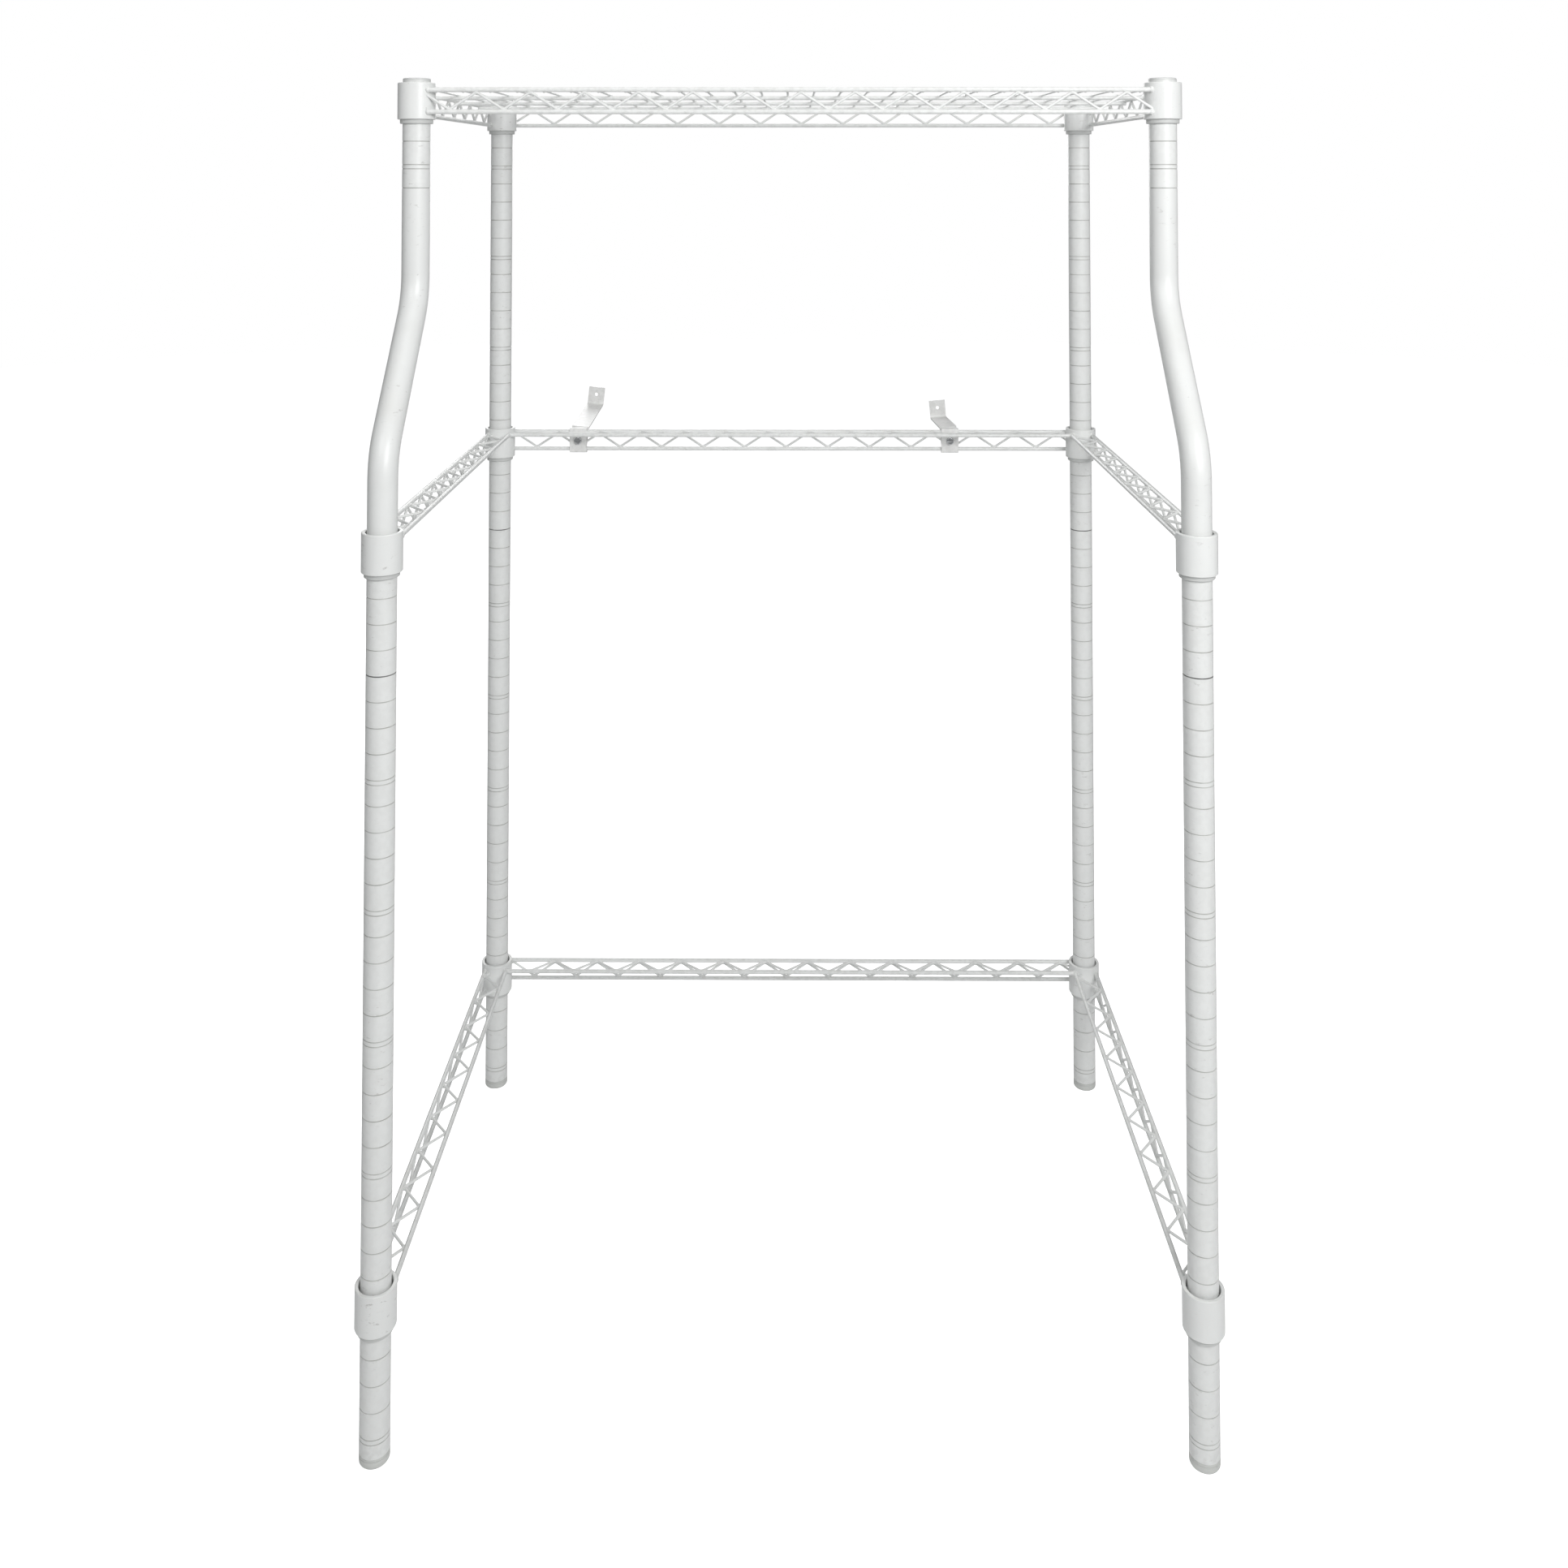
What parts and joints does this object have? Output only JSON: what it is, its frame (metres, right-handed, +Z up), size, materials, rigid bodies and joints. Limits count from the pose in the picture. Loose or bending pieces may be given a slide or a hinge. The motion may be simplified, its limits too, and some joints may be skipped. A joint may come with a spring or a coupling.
{
  "type": "over the toilet storage rack",
  "caption": "Tall white wire rack that straddles a toilet: grooved tube posts, a wire shelf on top, open-front wire frames below, front posts bent back and wall brackets.",
  "frame": {"origin": "on the floor, at the centre of the bottom of the whole outline, wall brackets included", "axes": "+X to the right seen from the front, +Y to the back and the wall, +Z up"},
  "size_m": [0.857, 0.773, 1.367],
  "materials": {
    "posts": "semi-gloss white powder coat",
    "wire": "semi-gloss white powder coat",
    "collars": "semi-gloss white powder coat",
    "brackets": "semi-gloss white powder coat",
    "sleeves": "moulded, satin",
    "caps": "moulded, satin",
    "feet": "moulded, satin",
    "inner_plastic": "moulded, plain",
    "steel_plugs": "plain steel",
    "bolts": "bright plated"
  },
  "bodies": {
    "frame": {"front_left_lower_post": "posts", "front_left_upper_post": "posts", "front_right_lower_post": "posts", "front_right_upper_post": "posts", "rear_left_lower_post": "posts", "rear_left_upper_post": "posts", "rear_right_lower_post": "posts", "rear_right_upper_post": "posts", "post_joiners": "steel_plugs", "foot_inserts": "inner_plastic", "post_caps": "caps", "low_front_left_sleeve": "sleeves", "low_front_left_collar": "collars", "low_front_right_sleeve": "sleeves", "low_front_right_collar": "collars", "low_rear_left_sleeve": "sleeves", "low_rear_left_collar": "collars", "low_rear_right_sleeve": "sleeves", "low_rear_right_collar": "collars", "low_rear_truss": "wire", "low_left_truss": "wire", "low_right_truss": "wire", "middle_front_left_sleeve": "sleeves", "middle_front_left_collar": "collars", "middle_front_right_sleeve": "sleeves", "middle_front_right_collar": "collars", "middle_rear_left_sleeve": "sleeves", "middle_rear_left_collar": "collars", "middle_rear_right_sleeve": "sleeves", "middle_rear_right_collar": "collars", "middle_rear_truss": "wire", "middle_left_truss": "wire", "middle_right_truss": "wire", "top_front_left_sleeve": "sleeves", "top_front_left_collar": "collars", "top_front_right_sleeve": "sleeves", "top_front_right_collar": "collars", "top_rear_left_sleeve": "sleeves", "top_rear_left_collar": "collars", "top_rear_right_sleeve": "sleeves", "top_rear_right_collar": "collars", "top_front_truss": "wire", "top_rear_truss": "wire", "top_left_truss": "wire", "top_right_truss": "wire", "top_shelf_deck": "wire"},
    "front_left_leveller": {"front_left_foot": "feet"},
    "front_right_leveller": {"front_right_foot": "feet"},
    "rear_left_leveller": {"rear_left_foot": "feet"},
    "rear_right_leveller": {"rear_right_foot": "feet"},
    "left_clamp": {"left_bracket_plate": "brackets", "left_bracket_bolt": "bolts", "left_bracket_nut": "bolts"},
    "left_strap": {"left_bracket_strap": "brackets"},
    "right_clamp": {"right_bracket_plate": "brackets", "right_bracket_bolt": "bolts", "right_bracket_nut": "bolts"},
    "right_strap": {"right_bracket_strap": "brackets"}
  },
  "joints": [
    {"name": "front_left_foot_screw", "type": "slide", "parent": "frame", "child": "front_left_leveller", "axis": [0, 0, -1], "range_m": [0, 0.012]},
    {"name": "front_right_foot_screw", "type": "slide", "parent": "frame", "child": "front_right_leveller", "axis": [0, 0, -1], "range_m": [0, 0.012]},
    {"name": "rear_left_foot_screw", "type": "slide", "parent": "frame", "child": "rear_left_leveller", "axis": [0, 0, -1], "range_m": [0, 0.012]},
    {"name": "rear_right_foot_screw", "type": "slide", "parent": "frame", "child": "rear_right_leveller", "axis": [0, 0, -1], "range_m": [0, 0.012]},
    {"name": "left_clamp_slide", "type": "slide", "parent": "frame", "child": "left_clamp", "axis": [1, 0, 0], "range_m": [-0.007, 0.007]},
    {"name": "left_strap_swivel", "type": "hinge", "parent": "left_clamp", "child": "left_strap", "pos_m": [-0.2995, 0.23547, 0.8847], "axis": [0, 1, 0], "range_deg": [-20, 20]},
    {"name": "right_clamp_slide", "type": "slide", "parent": "frame", "child": "right_clamp", "axis": [1, 0, 0], "range_m": [-0.003, 0.011]},
    {"name": "right_strap_swivel", "type": "hinge", "parent": "right_clamp", "child": "right_strap", "pos_m": [0.2257, 0.23547, 0.8847], "axis": [0, 1, 0], "range_deg": [-20, 20]}
  ]
}
